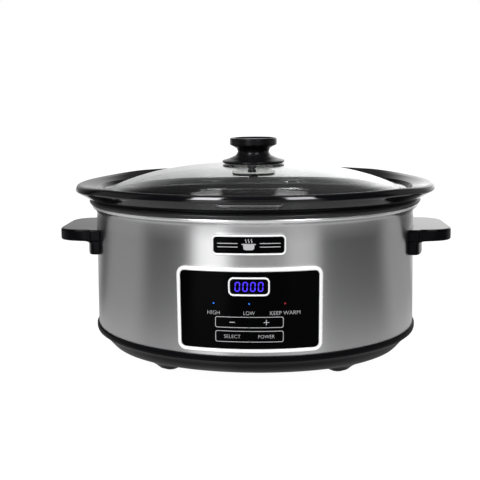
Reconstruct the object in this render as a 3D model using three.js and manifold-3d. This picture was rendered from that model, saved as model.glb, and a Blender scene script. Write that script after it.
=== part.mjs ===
// Oval electric slow cooker: steel-wrapped housing, lift-out ceramic crock, glass lid, four press keys.
// Millimetres, +Z up, origin on the table under the middle, the control panel faces -Y.
import * as THREE from "three";
import { mergeVertices } from "three/addons/utils/BufferGeometryUtils.js";
import Module from "manifold-3d";

const wasm = await Module();
wasm.setup();

// ---------- driving dimensions ----------

const WIDTH = 406.9;
const HEIGHT = 240;
const DEPTH = 290.1;

const SEGMENTS = 36;
const GAP = 0.3;

// The steel wall is an oval cone: half width, half depth and height of its two ends.
const WALL_LOW = { a: 169.8, b: 126.8, z: 46.2 };
const WALL_HIGH = { a: 166.8, b: 123.8, z: 166.5 };
const WALL_THICK = 1;

const LIP_TOP = 46.2;
const PAN_FLOOR = 7.5;
const PAN_WALL = 2.5;
const FOOT = { x: 88, y: 38, boss: 12.5, height: 3.4 };
const BASE_SCREW = { x: 60, y: 32, shaft: 2, head: 4.2 };
const STANDOFF = { radius: 5.5, top: 52 };

const FLANGE_TOP = 180.4;
const WELL_FLOOR = 58.6;
const WELL_WALL = 1.2;
// The heating well's side is an oval cone: half width, half depth and height of its two ends.
const WELL_LOW = { a: 150.2, b: 106.7, z: 78 };
const WELL_HIGH = { a: 156.2, b: 112.7, z: 172 };
const SENSOR_HOLE = 10.5;

const RIM = { a: 187.3, b: DEPTH / 2 };
const RIM_DROOP = 3;
const RIM_DROOP_START = 132;
const SEAT = { a: 161.6, b: 117.6, z: 185.2 };

const LID = { a: 160, b: 116, edge: 186.5, rise: 27.1, power: 2.71, thick: 3.6 };
const VENT = { y: -38.2, tilt: 0.09 };
const KNOB_BASE = 214.2;

const HANDLE = { y: 40, top: 149.3, thick: 12, corner: 22, plateY: 43, plateLow: 123.5, plateThick: 9 };
const HANDLE_SCREW = { y: 22, z: 132, shaft: 2, head: 4 };

const PANEL = { x: 67.8, low: 50, high: 130.4, corner: 8, frame: 4.6 };
const OPENING = { x: 56, low: 57, high: 123 };
const FRONT_CUT = -90; // how far back a cut through the front wall reaches
const FACE = 2.5; // how far the panel's face stands off the steel wall
const DISPLAY = { x: 19.1, low: 104, high: 121.6, corner: 5, frame: 2.1 };
const BADGE = { x: 33.7, low: 141.8, high: 160.1, corner: 4.5, frame: 1.6 };
const LAMP = { spacing: 32.8, z: 96.7, radius: 1.15 };
const KEY = { inner: 0.25, outer: 31.7, stem: 15.7, corner: 1.8 };
const KEY_ROWS = [
  { low: 73.9, high: 84.9, left: "minus_button", right: "plus_button" },
  { low: 60.3, high: 71.6, left: "select_button", right: "power_button" },
];

const BOARD = { x: 54, low: 58, high: 122, front: -117, thick: 1.6 };
const POWER_BOARD = { x: 50, front: -62, back: 12, z: 22, thick: 1.6 };
const GLAND = { z: 62, radius: 7, bore: 4 };
const TRANSFORMER = { x: 26, y: -34 };
const RELAY = { x: -30, y: -42, width: 19, depth: 15, height: 15 };
const CAPACITOR = { y: -46, radius: 5, height: 17 };
const TERMINALS = { spacing: 10, y: 55, radius: 2.6 };

// ---------- materials ----------

function finish(color, roughness, metalness) {
  return new THREE.MeshStandardMaterial({ color, roughness, metalness });
}

const brushedSteel = finish(0xa9abad, 0.32, 1);
const chrome = finish(0xe6e7e8, 0.12, 1);
const plainSteel = finish(0x9c9ea0, 0.4, 1);
const coatedSteel = finish(0x161617, 0.38, 0.4);
const glossBlack = finish(0x0b0b0c, 0.12, 0);
const satinBlack = finish(0x17171a, 0.42, 0);
const glaze = finish(0x070708, 0.06, 0);
const clearGlass = finish(0xd9e2e2, 0.03, 0);
const rubber = finish(0x111112, 0.8, 0);
const silicone = finish(0xd8d8d4, 0.5, 0);
const circuitGreen = finish(0x1f5a34, 0.45, 0);
const partBlack = finish(0x1c1c1e, 0.5, 0);
const fibre = finish(0xe3dfd2, 0.95, 0);
const mica = finish(0xb08d57, 0.6, 0.1);
const blueLight = finish(0x3b3bf0, 0.3, 0);
const redLight = finish(0xd02430, 0.3, 0);
const copperWire = finish(0xc8452e, 0.5, 0);

// ---------- solids ----------

// A closed geometry as a solid that can be joined and cut.
function solid(geometry) {
  const bare = geometry.clone();
  bare.deleteAttribute("normal");
  bare.deleteAttribute("uv");
  const merged = mergeVertices(bare, 1e-4);
  return new wasm.Manifold(
    new wasm.Mesh({
      numProp: 3,
      vertProperties: new Float32Array(merged.attributes.position.array),
      triVerts: new Uint32Array(merged.index.array),
    }),
  );
}

function join(first, ...others) {
  return others.reduce((made, other) => made.add(other), first);
}

function cut(first, ...others) {
  return others.reduce((made, other) => made.subtract(other), first);
}

function common(first, second) {
  return first.intersect(second);
}

function meshOf(made, name, material) {
  const { vertProperties, triVerts, numProp } = made.getMesh();
  const positions = new Float32Array((vertProperties.length / numProp) * 3);
  for (let i = 0; i < positions.length / 3; i += 1) {
    positions.set(vertProperties.subarray(i * numProp, i * numProp + 3), i * 3);
  }
  const geometry = new THREE.BufferGeometry();
  geometry.setAttribute("position", new THREE.BufferAttribute(positions, 3));
  geometry.setIndex(new THREE.BufferAttribute(new Uint32Array(triVerts), 1));
  geometry.computeVertexNormals();
  const mesh = new THREE.Mesh(geometry, material);
  mesh.name = name;
  return mesh;
}

// An oval turned shape. Each ring is [half width, half depth, height] and the rings go once round the
// section: out along the bottom, up the outside, in over the top and down the inside.
function oval(rings, segments = SEGMENTS) {
  const onAxis = rings[0][0] === 0;
  const loop = onAxis ? rings : [...rings, rings[0]];
  const outline = loop.map(([a, b, z]) => new THREE.Vector2((a + b) / 2, z));
  const lathe = new THREE.LatheGeometry(outline, segments);
  const position = lathe.attributes.position;
  for (let k = 0; k < position.count; k += 1) {
    const [a, b, z] = loop[k % loop.length];
    const angle = (Math.floor(k / loop.length) * 2 * Math.PI) / segments;
    position.setXYZ(k, a * Math.sin(angle), -b * Math.cos(angle), z);
  }
  return lathe;
}

// A round turned shape about Z from a section of [radius, height] points.
function turned(section, segments = 24) {
  return oval(section.map(([r, z]) => [r, r, z]), segments);
}

function block(x0, x1, y0, y1, z0, z1) {
  const box = new THREE.BoxGeometry(x1 - x0, y1 - y0, z1 - z0);
  return solid(box.translate((x0 + x1) / 2, (y0 + y1) / 2, (z0 + z1) / 2));
}

function upright(x, y, radius, z0, z1, sides = 16) {
  return solid(turned([[0, z0], [radius, z0], [radius, z1], [0, z1]], sides).translate(x, y, 0));
}

// A turned shape whose axis runs along +Y, from [radius, y] points.
function turnedAlongY(section, x, z, sides = 16) {
  return solid(turned(section, sides).rotateX(-Math.PI / 2).translate(x, 0, z));
}

function roundedRect(x0, x1, z0, z1, radius) {
  const shape = new THREE.Shape();
  shape.absarc(x1 - radius, z0 + radius, radius, -Math.PI / 2, 0);
  shape.absarc(x1 - radius, z1 - radius, radius, 0, Math.PI / 2);
  shape.absarc(x0 + radius, z1 - radius, radius, Math.PI / 2, Math.PI);
  shape.absarc(x0 + radius, z0 + radius, radius, Math.PI, Math.PI * 1.5);
  shape.closePath();
  return shape;
}

function roundHole(x, z, radius) {
  const hole = new THREE.Path();
  hole.absarc(x, z, radius, 0, Math.PI * 2);
  return hole;
}

// A shape drawn in X and Z, extruded along Y from `front` to `back`.
function plateFacingFront(shape, front, back, curveSegments = 2) {
  const options = { depth: back - front, bevelEnabled: false, curveSegments };
  return solid(new THREE.ExtrudeGeometry(shape, options).rotateX(Math.PI / 2).translate(0, back, 0));
}

// Half width and half depth of the steel wall's outside at a height, moved out by `offset`.
function wallRing(z, offset) {
  const t = (z - WALL_LOW.z) / (WALL_HIGH.z - WALL_LOW.z);
  const a = THREE.MathUtils.lerp(WALL_LOW.a, WALL_HIGH.a, t);
  const b = THREE.MathUtils.lerp(WALL_LOW.b, WALL_HIGH.b, t);
  return [a + offset, b + offset, z];
}

// An oval band that follows the steel wall between two offsets from its outside.
function wallBand(inner, outer, z0, z1) {
  return solid(
    oval([wallRing(z0, inner), wallRing(z0, outer), wallRing(z1, outer), wallRing(z1, inner)]),
  );
}

// The whole oval volume inside the wall's outside, moved out by `offset`.
function wallCore(offset, z0, z1) {
  return solid(oval([[0, 0, z0], wallRing(z0, offset), wallRing(z1, offset), [0, 0, z1]]));
}

// A flat outline pressed onto the curved front of the wall.
function onFront(shape, inner, outer, z0, z1, curveSegments = 2) {
  const outline = plateFacingFront(shape, -DEPTH / 2, FRONT_CUT, curveSegments);
  return common(wallBand(inner, outer, z0 - 1, z1 + 1), outline);
}

// Distance of the wall's outside from the XZ plane at a place on the front.
function wallDepth(x, z) {
  const [a, b] = wallRing(z, 0);
  return b * Math.sqrt(1 - (x / a) ** 2);
}

const group = new THREE.Group();

function add(parent, name, made, material) {
  parent.add(meshOf(made, name, material));
}

// ---------- housing ----------

function outerWrap() {
  const bottom = LIP_TOP - 1;
  const shell = solid(
    oval([
      wallRing(bottom, -WALL_THICK),
      wallRing(bottom, 0),
      [WALL_HIGH.a, WALL_HIGH.b, WALL_HIGH.z],
      [168.2, 125.2, 169.2],
      [170.8, 127.8, 171.2],
      [171.4, 128.4, 172.9],
      [170.8, 127.8, 174.4],
      [169.6, 126.6, 174.8],
      [168.8, 125.8, 173.6],
      [166.2, 123.2, 170.4],
      [WALL_HIGH.a - WALL_THICK, WALL_HIGH.b - WALL_THICK, WALL_HIGH.z],
    ]),
  );
  const opening = roundedRect(-OPENING.x, OPENING.x, OPENING.low, OPENING.high, 6);
  const bore = GLAND.radius + GAP;
  const glandHole = turnedAlongY([[0, 100], [bore, 100], [bore, 140], [0, 140]], 0, GLAND.z);
  const hole = HANDLE_SCREW.shaft + 0.5;
  const holes = [-1, 1].flatMap((side) => [-1, 1].map((end) => screwHole(side, end, hole)));
  return cut(shell, plateFacingFront(opening, -DEPTH / 2, FRONT_CUT), glandHole, ...holes);
}

// A hole for a handle screw, along X through the wall and into the handle's plate.
function screwHole(side, end, radius) {
  const bar = new THREE.CylinderGeometry(radius, radius, 40, 12);
  return solid(bar.rotateZ(Math.PI / 2).translate(side * 153, end * HANDLE_SCREW.y, HANDLE_SCREW.z));
}

function basePan() {
  const outside = [
    [122, 56, PAN_FLOOR],
    [138, 72, 9.2],
    [148.4, 91.4, 16],
    [156.3, 109.6, 24],
    [162.2, 119.8, 32],
    [170.2, 126.7, 39.4],
    [172.5, 129.4, 42.6],
    [172, 128.9, LIP_TOP],
  ];
  const groove = [
    [170.3, 127.3, LIP_TOP],
    [170.3, 127.3, LIP_TOP - 1.3],
    [168.3, 125.3, LIP_TOP - 1.3],
  ];
  const inside = outside
    .slice(1, 6)
    .reverse()
    .map(([a, b, z]) => [a - PAN_WALL, b - PAN_WALL, z + 1.2]);
  const shell = solid(oval([[0, 0, PAN_FLOOR], ...outside, ...groove, ...inside, [0, 0, 10]]));
  const inner = PAN_FLOOR + 1;
  const bosses = corners(FOOT).map(([x, y]) =>
    solid(turned([[0, 2.6], [10, 2.6], [FOOT.boss, 6], [FOOT.boss, 11], [0, 11]], 16).translate(x, y, 0)));
  const standoffs = corners(BASE_SCREW).flatMap(([x, y]) => [
    upright(x, y, 7, inner, 17, 12),
    upright(x, y, STANDOFF.radius, inner, STANDOFF.top, 8),
  ]);
  const boardPosts = boardPostPlaces().map(([x, y]) => upright(x, y, 3, inner, POWER_BOARD.z - GAP, 6));
  const recesses = corners(FOOT).map(([x, y]) => upright(x, y, 8.8, 0, FOOT.height + GAP, 16));
  const bores = corners(BASE_SCREW).flatMap(([x, y]) => [
    upright(x, y, BASE_SCREW.head + 0.4, 0, 14, 10),
    upright(x, y, BASE_SCREW.shaft + 0.4, 0, 60, 8),
  ]);
  const vents = [-2, -1, 0, 1, 2].map((i) => block(i * 14 - 2, i * 14 + 2, 34, 50, 0, 20));
  return cut(join(shell, ...bosses, ...standoffs, ...boardPosts), ...recesses, ...bores, ...vents);
}

function corners({ x, y }) {
  return [[-x, -y], [x, -y], [-x, y], [x, y]];
}

function boardPostPlaces() {
  const inset = 6;
  const x = POWER_BOARD.x - inset;
  return [[-x, POWER_BOARD.front + inset], [x, POWER_BOARD.front + inset],
    [-x, POWER_BOARD.back - inset], [x, POWER_BOARD.back - inset]];
}

function heatingWell() {
  const outside = [
    [130, 86.5, WELL_FLOOR],
    [144, 100.5, 64],
    [WELL_LOW.a, WELL_LOW.b, WELL_LOW.z],
    [WELL_HIGH.a, WELL_HIGH.b, WELL_HIGH.z],
  ];
  const flange = [
    [158, 114.5, 175.1],
    [172.6, 129.6, 175.1],
    [173.9, 130.9, 177.4],
    [171.2, 128.2, FLANGE_TOP],
    [157, 113.5, FLANGE_TOP],
  ];
  const inside = outside
    .slice()
    .reverse()
    .map(([a, b, z]) => [a - WELL_WALL, b - WELL_WALL, z + (z < 70 ? WELL_WALL : 0)]);
  const floorTop = WELL_FLOOR + WELL_WALL;
  const shell = solid(oval([[0, 0, WELL_FLOOR], ...outside, ...flange, ...inside, [0, 0, floorTop]]));
  const bossLow = STANDOFF.top + GAP;
  const bosses = corners(BASE_SCREW).map(([x, y]) => upright(x, y, 5, bossLow, WELL_FLOOR + 0.6, 8));
  const bores = corners(BASE_SCREW).map(([x, y]) => upright(x, y, BASE_SCREW.shaft + 0.4, 50, 58, 8));
  const sensorHole = upright(0, 0, SENSOR_HOLE, 50, 70);
  return cut(join(shell, ...bosses), ...bores, sensorHole);
}

function foot(x, y) {
  const section = [[0, 0], [7.6, 0], [8.4, 0.8], [8.4, FOOT.height], [0, FOOT.height]];
  return solid(turned(section, 16).translate(x, y, 0));
}

function baseScrew(x, y) {
  const { head, shaft } = BASE_SCREW;
  const section = [[0, 11], [head, 11], [head, 13.7], [shaft, 13.7], [shaft, 57], [0, 57]];
  return solid(turned(section, 8).translate(x, y, 0));
}

function handle(side) {
  const { y, top, thick, corner, plateY, plateLow, plateThick } = HANDLE;
  const tip = WIDTH / 2;
  const outline = new THREE.Shape();
  outline.moveTo(130, -y);
  outline.lineTo(tip - corner, -y);
  outline.absarc(tip - corner, -y + corner, corner, -Math.PI / 2, 0);
  outline.absarc(tip - corner, y - corner, corner, 0, Math.PI / 2);
  outline.lineTo(130, y);
  outline.closePath();
  const slabOptions = { depth: thick, bevelEnabled: false, curveSegments: 3 };
  const slab = solid(new THREE.ExtrudeGeometry(outline, slabOptions).translate(0, 0, top - thick));
  const face = roundedRect(-plateY, plateY, plateLow, top, 5);
  const faceOptions = { depth: 80, bevelEnabled: false, curveSegments: 2 };
  const sideways = new THREE.ExtrudeGeometry(face, faceOptions).rotateX(Math.PI / 2).rotateZ(Math.PI / 2);
  const band = wallBand(GAP, plateThick, plateLow - 2, top + 2);
  const plate = common(band, solid(sideways.translate(120, 0, 0)));
  const right = cut(join(slab, plate), wallCore(GAP, plateLow - 5, top + 5));
  const bores = [-1, 1].map((end) => screwHole(1, end, HANDLE_SCREW.shaft + 0.3));
  const made = cut(right, ...bores);
  return side > 0 ? made : made.rotate([0, 0, 180]);
}

// Pan-head screw from inside the wall into the handle's plate.
function handleScrew(side, end) {
  const wall = WALL_HIGH.a * 0.99;
  const { shaft, head } = HANDLE_SCREW;
  const from = wall - 6.4;
  const section = [[0, from], [head, from], [head, from + 2.4], [shaft, from + 2.4], [shaft, 171], [0, 171]];
  const screw = turned(section, 8).rotateY(Math.PI / 2);
  if (side < 0) {
    screw.rotateZ(Math.PI);
  }
  return solid(screw.translate(0, end * HANDLE_SCREW.y, HANDLE_SCREW.z));
}

// An oval band around the heating well's wall, open at the back.
function bandAroundWell(inner, outer, z0, z1, openHalf) {
  const well = (z, offset) => {
    const t = (z - WELL_LOW.z) / (WELL_HIGH.z - WELL_LOW.z);
    const a = THREE.MathUtils.lerp(WELL_LOW.a, WELL_HIGH.a, t);
    const b = THREE.MathUtils.lerp(WELL_LOW.b, WELL_HIGH.b, t);
    return [a + offset, b + offset, z];
  };
  const ring = solid(oval([well(z0, inner), well(z0, outer), well(z1, outer), well(z1, inner)]));
  return cut(ring, block(-openHalf, openHalf, 60, 160, z0 - 5, z1 + 5));
}

function insulationBlanket() {
  const blanket = bandAroundWell(2.4, 6.4, 82, 160, 24);
  return cut(blanket, block(-64, 64, -140, -60, 70, 128));
}

function temperatureSensor() {
  return solid(turned([[0, 47.9], [9.5, 47.9], [9.5, 56], [8.7, 61.1], [7.8, 61.6], [0, 61.6]]));
}

function sensorSpring() {
  const turns = 3;
  const low = 38.8;
  const high = 46.8;
  const path = new THREE.CatmullRomCurve3(
    Array.from({ length: turns * 8 + 1 }, (_, i) => {
      const angle = (i / 8) * 2 * Math.PI;
      const z = THREE.MathUtils.lerp(low, high, i / (turns * 8));
      return new THREE.Vector3(6 * Math.cos(angle), 6 * Math.sin(angle), z);
    }),
  );
  return solid(wire(path, 0.5, turns * 12, 3));
}

function wire(path, radius, steps, sides) {
  const section = new THREE.Shape();
  section.absarc(0, 0, radius, 0, Math.PI * 2);
  const options = { extrudePath: path, steps, bevelEnabled: false, curveSegments: sides };
  return new THREE.ExtrudeGeometry(section, options);
}

function sensorBracket() {
  const strap = new THREE.Shape();
  const outline = [[-34, 58.2], [-34, 57], [-27.2, 57], [-27.2, 36.6], [27.2, 36.6], [27.2, 57], [34, 57],
    [34, 58.2], [26, 58.2], [26, 37.8], [-26, 37.8], [-26, 58.2]];
  outline.forEach(([x, z], i) => (i === 0 ? strap.moveTo(x, z) : strap.lineTo(x, z)));
  strap.closePath();
  return plateFacingFront(strap, -7, 7);
}

function thermalFuse() {
  const section = [[0, 80], [1, 80], [1, 84], [2.6, 84.6], [2.6, 100], [1, 100.6], [1, 105], [0, 105]];
  return solid(turned(section, 12).translate(16, 114.8, 0));
}

// ---------- controls ----------

function controlHousing() {
  const back = BOARD.front + BOARD.thick + 0.9;
  const outer = block(-60, 60, -130, back + 1.4, 54, 126);
  const hollow = block(-57.5, 57.5, -140, back, 56.3, 123.7);
  const slot = block(-9, 9, -117.3, -115.2, 50, 60);
  return cut(common(outer, wallCore(-WALL_THICK - GAP, 50, 130)), hollow, slot);
}

function displayBoard() {
  return block(-BOARD.x, BOARD.x, BOARD.front, BOARD.front + BOARD.thick, BOARD.low, BOARD.high);
}

function displayModule() {
  return block(-15.5, 15.5, BOARD.front - 6.3, BOARD.front - GAP, 106.5, 119.5);
}

function tactSwitch(x, z) {
  const back = BOARD.front - GAP;
  const body = block(x - 3, x + 3, back - 3.4, back, z - 3, z + 3);
  const tip = back - 4.2;
  const plunger = turnedAlongY([[0, tip], [1.7, tip], [1.7, back - 3], [0, back - 3]], x, z, 12);
  return join(body, plunger);
}

function keyCentre({ low, high }) {
  return (low + high) / 2;
}

function button(row, side) {
  const x0 = side > 0 ? KEY.inner : -KEY.outer;
  const x1 = side > 0 ? KEY.outer : -KEY.inner;
  const outline = roundedRect(x0, x1, row.low, row.high, KEY.corner);
  const cap = onFront(outline, 0.5, FACE, row.low, row.high, 1);
  const x = side * KEY.stem;
  const z = keyCentre(row);
  const stem = block(x - 2.5, x + 2.5, -wallDepth(x, z) - 1.4, BOARD.front - 5.4, z - 2.5, z + 2.5);
  return join(cap, stem);
}

function lamp(x) {
  const front = -wallDepth(x, LAMP.z) - 2.2;
  const back = BOARD.front - GAP;
  const { radius } = LAMP;
  return turnedAlongY(
    [[0, front], [radius * 0.7, front], [radius, front + 0.5], [radius, back - 3.4], [1.9, back - 3.4],
      [1.9, back], [0, back]],
    x, LAMP.z, 12,
  );
}

function frameShape({ x, low, high, corner, frame }) {
  const shape = roundedRect(-x, x, low, high, corner);
  shape.holes.push(innerShape({ x, low, high, corner, frame }, frame));
  return shape;
}

function innerShape({ x, low, high, corner }, inset) {
  return roundedRect(-x + inset, x - inset, low + inset, high - inset, Math.max(corner - inset, 1.5));
}

function panelLens() {
  const shape = innerShape(PANEL, PANEL.frame + GAP);
  shape.holes.push(innerShape(DISPLAY, -GAP));
  for (const row of KEY_ROWS) {
    const reach = KEY.outer + GAP;
    shape.holes.push(roundedRect(-reach, reach, row.low - GAP, row.high + GAP, KEY.corner));
  }
  for (const place of [-1, 0, 1]) {
    shape.holes.push(roundHole(place * LAMP.spacing, LAMP.z, LAMP.radius + 2 * GAP));
  }
  return onFront(shape, GAP, FACE, PANEL.low, PANEL.high, 3);
}

// ---------- inside the base ----------

function onBoard(x, y, width, depth, height) {
  const z = POWER_BOARD.z + POWER_BOARD.thick + GAP;
  return block(x - width / 2, x + width / 2, y - depth / 2, y + depth / 2, z, z + height);
}

function powerBoard() {
  const { x, front, back, z, thick } = POWER_BOARD;
  return block(-x, x, front, back, z, z + thick);
}

function transformer() {
  const { x, y } = TRANSFORMER;
  const core = onBoard(x, y, 30, 20, 22);
  const bobbin = onBoard(x, y, 20, 30, 16);
  return join(core, bobbin);
}

function capacitor() {
  const { y, radius, height } = CAPACITOR;
  const z = POWER_BOARD.z + POWER_BOARD.thick + GAP;
  const top = z + height;
  const section = [[0, z], [radius, z], [radius, top - 1], [radius - 0.6, top], [0, top]];
  return solid(turned(section, 16).translate(0, y, 0));
}

function relay() {
  const { x, y, width, depth, height } = RELAY;
  return onBoard(x, y, width, depth, height);
}

function terminalBlock() {
  const { spacing, y, radius } = TERMINALS;
  const body = block(-16, 16, y - 7, y + 7, 10.4, 22);
  const wells = [-1, 0, 1].map((i) => upright(i * spacing, y, radius, 16, 30, 10));
  return cut(body, ...wells);
}

function ribbonCable() {
  const line = [[-116.6, 57.6], [-116.6, 47.6], [-108.4, 39.8], [-70, 25.6], [-56, 24.1]];
  const edge = [[-56, 24.9], [-69.8, 26.4], [-107.9, 40.5], [-115.8, 48], [-115.8, 57.6]];
  const shape = new THREE.Shape([...line, ...edge].map(([y, z]) => new THREE.Vector2(y, z)));
  const cable = new THREE.ExtrudeGeometry(shape, { depth: 16, bevelEnabled: false });
  return solid(cable.rotateX(Math.PI / 2).rotateZ(Math.PI / 2).translate(-8, 0, 0));
}

function heaterLead(side) {
  const path = new THREE.CatmullRomCurve3([
    new THREE.Vector3(side * 8, 63.9, 18),
    new THREE.Vector3(side * 9, 84, 26),
    new THREE.Vector3(side * 11, 104, 46),
    new THREE.Vector3(side * 12, 111.4, 73.6),
  ]);
  return solid(wire(path, 1.4, 12, 4));
}

function cordGland() {
  const [, b] = wallRing(GLAND.z, 0);
  const section = [[GLAND.bore, b - 9], [9, b - 9], [9, b - 5], [GLAND.radius, b - 5],
    [GLAND.radius, b + 0.6], [10, b + 0.6], [10, b + 2.4], [9, b + 3.6], [GLAND.bore, b + 3.6]];
  return turnedAlongY(section, 0, GLAND.z);
}

// ---------- crock ----------

// The rim dips towards the two ends, where it makes the lifting lugs.
function droop(x) {
  return RIM_DROOP * THREE.MathUtils.smoothstep(Math.abs(x), RIM_DROOP_START, RIM.a);
}

function crock() {
  const rings = [
    [0, 0, 62],
    [125, 82, 62],
    [138, 95, 67],
    [145.6, 102.6, 81],
    [152, 108.5, FLANGE_TOP + GAP],
    [174, 129.5, FLANGE_TOP + GAP],
    [RIM.a - 1.3, RIM.b - 1.25, 190.8, 0.95],
    [RIM.a, RIM.b, 192.4, 1],
    [RIM.a, RIM.b, 195.2, 1],
    [RIM.a - 2.5, RIM.b - 2.45, 197.5, 1],
    [165, 121, 190.4, 0.1],
    [SEAT.a, SEAT.b, SEAT.z, 0],
    [149, 105, SEAT.z, 0],
    [144, 100.4, 178, 0],
    [138.2, 95.2, 84],
    [131, 88, 71],
    [118, 75, 69.2],
    [0, 0, 69.2],
  ];
  const shape = oval(rings);
  const position = shape.attributes.position;
  for (let k = 0; k < position.count; k += 1) {
    const [, , z, weight = 0] = rings[k % rings.length];
    position.setZ(k, z - weight * droop(position.getX(k)));
  }
  return solid(shape);
}

// ---------- lid ----------

// Height of the dome's top at a share of the way from its middle to its edge.
function domeHeight(share) {
  return LID.edge + LID.rise * (1 - share ** LID.power);
}

function domeRing(share, drop) {
  return [LID.a * share, LID.b * share, domeHeight(share) - drop];
}

function lidGlass() {
  const top = [0.9, 0.77, 0.6, 0.38].map((share) => domeRing(share, 0));
  const under = [0.38, 0.64, 0.88].map((share) => domeRing(share, LID.thick));
  const brim = [
    [150, 107, SEAT.z + 1.4],
    [158.4, 114.4, SEAT.z + GAP],
    [LID.a, LID.b, 187],
    [158.6, 114.6, 189.4],
    [152, 110.2, 190.2],
  ];
  const centre = domeHeight(0);
  const dome = solid(oval([[0, 0, centre - LID.thick], ...under, ...brim, ...top, [0, 0, centre]]));
  return cut(dome, upright(0, 0, 4, 190, 230, 12), tilted(upright(0, 0, 3.2, -20, 20, 8)));
}

// Moves a piece made about the origin to the steam vent, square to the glass.
function tilted(made) {
  return made.rotate([(VENT.tilt * 180) / Math.PI, 0, 0]).translate([0, VENT.y, domeHeight(-VENT.y / LID.b)]);
}

function ventGrommet() {
  const low = -LID.thick - 2.4;
  const section = [[1.2, low], [4.2, low], [4.2, low + 1.8], [2.8, low + 1.8], [2.8, 0.5], [4.6, 0.5],
    [4.4, 1.9], [3.6, 2.6], [1.2, 2.6]];
  return tilted(solid(turned(section, 12)));
}

function lidKnob() {
  const section = [
    [0, 230],
    [2.3, 230],
    [2.3, KNOB_BASE],
    [32, KNOB_BASE],
    [32.7, 215.2],
    [32.7, 216.5],
    [26, 218.7],
    [18.6, 221.9],
    [16.2, 225.4],
    [17.4, 229.2],
    [24.6, 233.4],
    [24.6, 238.9],
    [23.4, HEIGHT],
    [21.6, HEIGHT],
    [20.4, 238.8],
    [0, 238],
  ];
  return solid(turned(section, 24));
}

function lidSeal() {
  const top = domeHeight(0) - LID.thick - 1.4;
  return solid(turned([[4, 204.3], [20.4, 204.3], [20.4, top], [4, top]], 20));
}

function lidWasher() {
  const section = [[2.4, 202], [21.2, 202], [22, 202.8], [22, 204], [2.4, 204]];
  return solid(turned(section, 20));
}

function knobScrew() {
  return solid(turned([[0, 199.2], [4.6, 199.2], [4.8, 201.7], [2, 201.7], [2, 228], [0, 228]], 16));
}

// ---------- assembly ----------

const housing = new THREE.Group();
add(housing, "outer_wrap", outerWrap(), brushedSteel);
add(housing, "heating_well", heatingWell(), coatedSteel);
add(housing, "base_pan", basePan(), satinBlack);
const places = ["front_left", "front_right", "rear_left", "rear_right"];
corners(FOOT).forEach(([x, y], i) => add(housing, `foot_${places[i]}`, foot(x, y), rubber));
corners(BASE_SCREW).forEach(([x, y], i) => {
  add(housing, `base_screw_${places[i]}`, baseScrew(x, y), plainSteel);
});
for (const [side, word] of [[-1, "left"], [1, "right"]]) {
  add(housing, `handle_${word}`, handle(side), glossBlack);
  add(housing, `handle_screw_${word}_front`, handleScrew(side, -1), plainSteel);
  add(housing, `handle_screw_${word}_rear`, handleScrew(side, 1), plainSteel);
}
add(housing, "heater_band", bandAroundWell(0.5, 1.9, 82, 126, 8), mica);
add(housing, "insulation_blanket", insulationBlanket(), fibre);
add(housing, "temperature_sensor", temperatureSensor(), plainSteel);
add(housing, "sensor_spring", sensorSpring(), plainSteel);
add(housing, "sensor_bracket", sensorBracket(), plainSteel);
add(housing, "thermal_fuse", thermalFuse(), plainSteel);
group.add(housing);

const controls = new THREE.Group();
add(controls, "control_housing", controlHousing(), satinBlack);
add(controls, "display_board", displayBoard(), circuitGreen);
add(controls, "display_module", displayModule(), partBlack);
for (const [i, place] of [-1, 0, 1].entries()) {
  const name = ["lamp_high", "lamp_low", "lamp_keep_warm"][i];
  add(controls, name, lamp(place * LAMP.spacing), i === 2 ? redLight : blueLight);
}
add(controls, "panel_bezel", onFront(frameShape(PANEL), GAP, 3.8, PANEL.low, PANEL.high, 3), chrome);
add(controls, "panel_lens", panelLens(), glossBlack);
add(controls, "display_ring", onFront(frameShape(DISPLAY), GAP, 3.3, DISPLAY.low, DISPLAY.high), chrome);
const windowShape = innerShape(DISPLAY, DISPLAY.frame + GAP);
add(controls, "display_window", onFront(windowShape, 0.6, 2.3, DISPLAY.low, DISPLAY.high), glossBlack);
add(controls, "badge_frame", onFront(frameShape(BADGE), GAP, 2.7, BADGE.low, BADGE.high), chrome);
const badgeInner = innerShape(BADGE, BADGE.frame + GAP);
add(controls, "badge_plate", onFront(badgeInner, GAP, 1.7, BADGE.low, BADGE.high), glossBlack);
for (const row of KEY_ROWS) {
  for (const [side, name] of [[-1, row.left], [1, row.right]]) {
    const key = new THREE.Group();
    add(key, name, button(row, side), glossBlack);
    controls.add(key);
    add(controls, name.replace("button", "switch"), tactSwitch(side * KEY.stem, keyCentre(row)), partBlack);
  }
}
group.add(controls);

const power = new THREE.Group();
add(power, "power_board", powerBoard(), circuitGreen);
add(power, "relay", relay(), partBlack);
add(power, "transformer", transformer(), plainSteel);
add(power, "capacitor", capacitor(), partBlack);
add(power, "terminal_block", terminalBlock(), silicone);
add(power, "ribbon_cable", ribbonCable(), silicone);
add(power, "heater_lead_left", heaterLead(-1), copperWire);
add(power, "heater_lead_right", heaterLead(1), copperWire);
add(power, "cord_gland", cordGland(), rubber);
group.add(power);

const pot = new THREE.Group();
add(pot, "crock", crock(), glaze);
group.add(pot);

const lid = new THREE.Group();
add(lid, "lid_glass", lidGlass(), clearGlass);
add(lid, "lid_knob", lidKnob(), satinBlack);
add(lid, "lid_seal", lidSeal(), silicone);
add(lid, "lid_washer", lidWasher(), satinBlack);
add(lid, "knob_screw", knobScrew(), plainSteel);
add(lid, "vent_grommet", ventGrommet(), rubber);
group.add(lid);

export default group;
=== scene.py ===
"""Slow cooker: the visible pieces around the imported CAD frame, their finishes, the studio and the camera.

Lengths in this script are millimetres until a mesh is made, and the frame's own metres after that.
"""

import math

import bmesh
import bpy
import numpy as np
from mathutils import Matrix, Vector


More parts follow.
